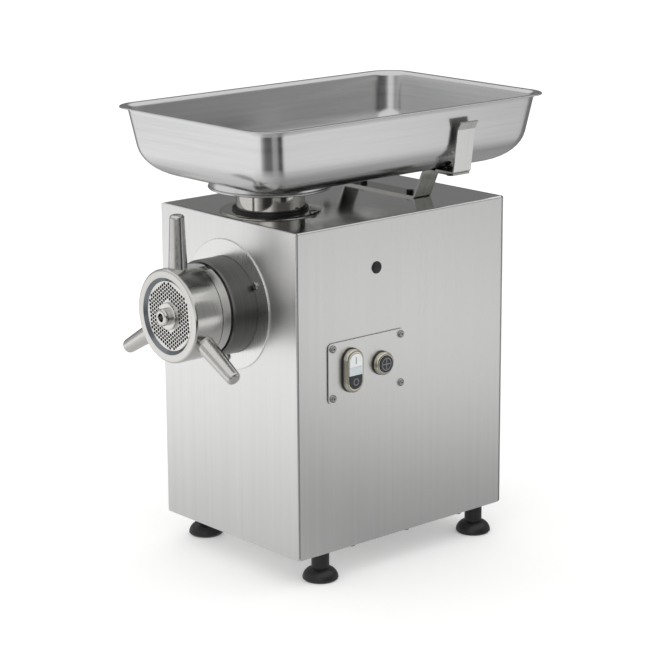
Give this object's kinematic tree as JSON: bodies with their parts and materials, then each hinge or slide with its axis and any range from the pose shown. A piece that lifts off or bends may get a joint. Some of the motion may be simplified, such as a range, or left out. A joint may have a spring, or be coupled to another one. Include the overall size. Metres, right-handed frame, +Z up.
{
  "type": "electric meat grinder",
  "caption": "Countertop electric meat grinder: stainless case on feet, horizontal head with ring nut and perforated plate, feed neck, drawn tray and push buttons.",
  "frame": {"origin": "middle of the machine's footprint (tray and head included), at the surface it stands on", "axes": "+Z up, -Y the front, where the grinding head comes out, +X the side with the push buttons"},
  "size_m": [0.3, 0.506, 0.562],
  "materials": {
    "case_steel": "vertically brushed satin stainless",
    "tray_steel": "fine satin drawn stainless",
    "head_steel": "turned and satin-polished stainless",
    "polished_steel": "polished stainless",
    "collar_steel": "dark satin turned stainless",
    "plate_steel": "ground flat",
    "screw_steel": "bright screws",
    "dark_screw": "blackened",
    "foot_rubber": "smooth black",
    "black_plastic": "matt black",
    "gasket_rubber": "black",
    "nickel": "warm satin nickel",
    "white_plastic": "light grey-white, smooth",
    "stop_plastic": "black, smooth",
    "window_plastic": "pale translucent diffuser",
    "grey_plastic": "grey electrical plastic",
    "gear_steel": "machined gear steel",
    "bearing_steel": "ground",
    "cast_aluminium": "as cast",
    "frame_paint": "grey primer",
    "core_steel": "laminated",
    "winding": "enamelled copper wire",
    "gasket_paper": "sheet gasket"
  },
  "bodies": {
    "base": {"feet": "foot_rubber", "base_plate": "case_steel", "case_wrapper": "case_steel", "front_panel": "case_steel", "rear_panel": "case_steel", "case_screws": "screw_steel", "cable_gland": "black_plastic", "side_plug": "black_plastic", "flange_disc": "case_steel", "mount_collar": "collar_steel", "grinding_barrel": "head_steel", "locating_keys": "screw_steel", "barrel_support": "frame_paint", "shaft_seal": "gasket_rubber", "neck_tube": "polished_steel", "throat_disc": "collar_steel", "throat_base_ring": "collar_steel", "hole_plate": "plate_steel", "gearbox_housing": "cast_aluminium", "gearbox_cover": "cast_aluminium", "gearbox_gasket": "gasket_paper", "gearbox_screws": "screw_steel", "gearbox_stand": "frame_paint", "frame_bolts": "screw_steel", "ball_bearings": "bearing_steel", "motor_housing": "cast_aluminium", "motor_end_shields": "cast_aluminium", "motor_tie_bolts": "screw_steel", "stator_core": "core_steel", "stator_windings": "winding", "fan_cowl": "frame_paint", "capacitor": "grey_plastic", "contactor": "grey_plastic", "control_plate": "case_steel", "button_gaskets": "gasket_rubber", "button_bezels": "nickel", "button_bodies": "black_plastic", "indicator_window": "window_plastic", "contact_blocks": "grey_plastic", "cover_screws": "screw_steel", "tray_bracket": "case_steel", "tray_clips": "tray_steel", "bracket_bolts": "dark_screw"},
    "rotor": {"rotor_core": "core_steel", "motor_shaft": "gear_steel", "motor_pinion": "gear_steel", "motor_fan": "black_plastic"},
    "countershaft": {"pinion_shaft": "gear_steel", "intermediate_gear": "gear_steel"},
    "drive": {"output_shaft": "gear_steel", "output_gear": "gear_steel", "worm": "head_steel", "cross_knife": "plate_steel"},
    "ring": {"ring_nut": "head_steel", "ring_handles": "head_steel"},
    "loose_tray": {"tray": "tray_steel", "tray_collar": "tray_steel"},
    "start": {"start_button": "white_plastic"},
    "stop": {"stop_button": "stop_plastic"},
    "reverse": {"reverse_button": "stop_plastic"}
  },
  "joints": [
    {"name": "rotor_spin", "type": "hinge", "parent": "base", "child": "rotor", "pos_m": [0, -0.032, 0.187], "axis": [0, 1, 0], "continuous": true},
    {"name": "counter_spin", "type": "hinge", "parent": "base", "child": "countershaft", "pos_m": [0, 0.098, 0.251], "axis": [0, 1, 0], "continuous": true},
    {"name": "worm_spin", "type": "hinge", "parent": "base", "child": "drive", "pos_m": [0, 0.048, 0.331], "axis": [0, 1, 0], "continuous": true},
    {"name": "ring_turn", "type": "hinge", "parent": "base", "child": "ring", "pos_m": [0, -0.222, 0.331], "axis": [0, -1, 0], "range_deg": [0, 1080]},
    {"name": "tray_lift", "type": "slide", "parent": "base", "child": "loose_tray", "axis": [0, 0, 1], "range_m": [0, 0.12]},
    {"name": "start_press", "type": "slide", "parent": "base", "child": "start", "axis": [-1, 0, 0], "range_m": [0, 0.003], "stiffness_N_per_m": 300, "springref_m": -0.001},
    {"name": "stop_press", "type": "slide", "parent": "base", "child": "stop", "axis": [-1, 0, 0], "range_m": [0, 0.003], "stiffness_N_per_m": 300, "springref_m": -0.001},
    {"name": "reverse_press", "type": "slide", "parent": "base", "child": "reverse", "axis": [-1, 0, 0], "range_m": [0, 0.003], "stiffness_N_per_m": 300, "springref_m": -0.001}
  ],
  "couplings": [
    {"joint": "counter_spin", "follows": "rotor_spin", "ratio": -0.33333},
    {"joint": "worm_spin", "follows": "rotor_spin", "ratio": 0.089947}
  ]
}
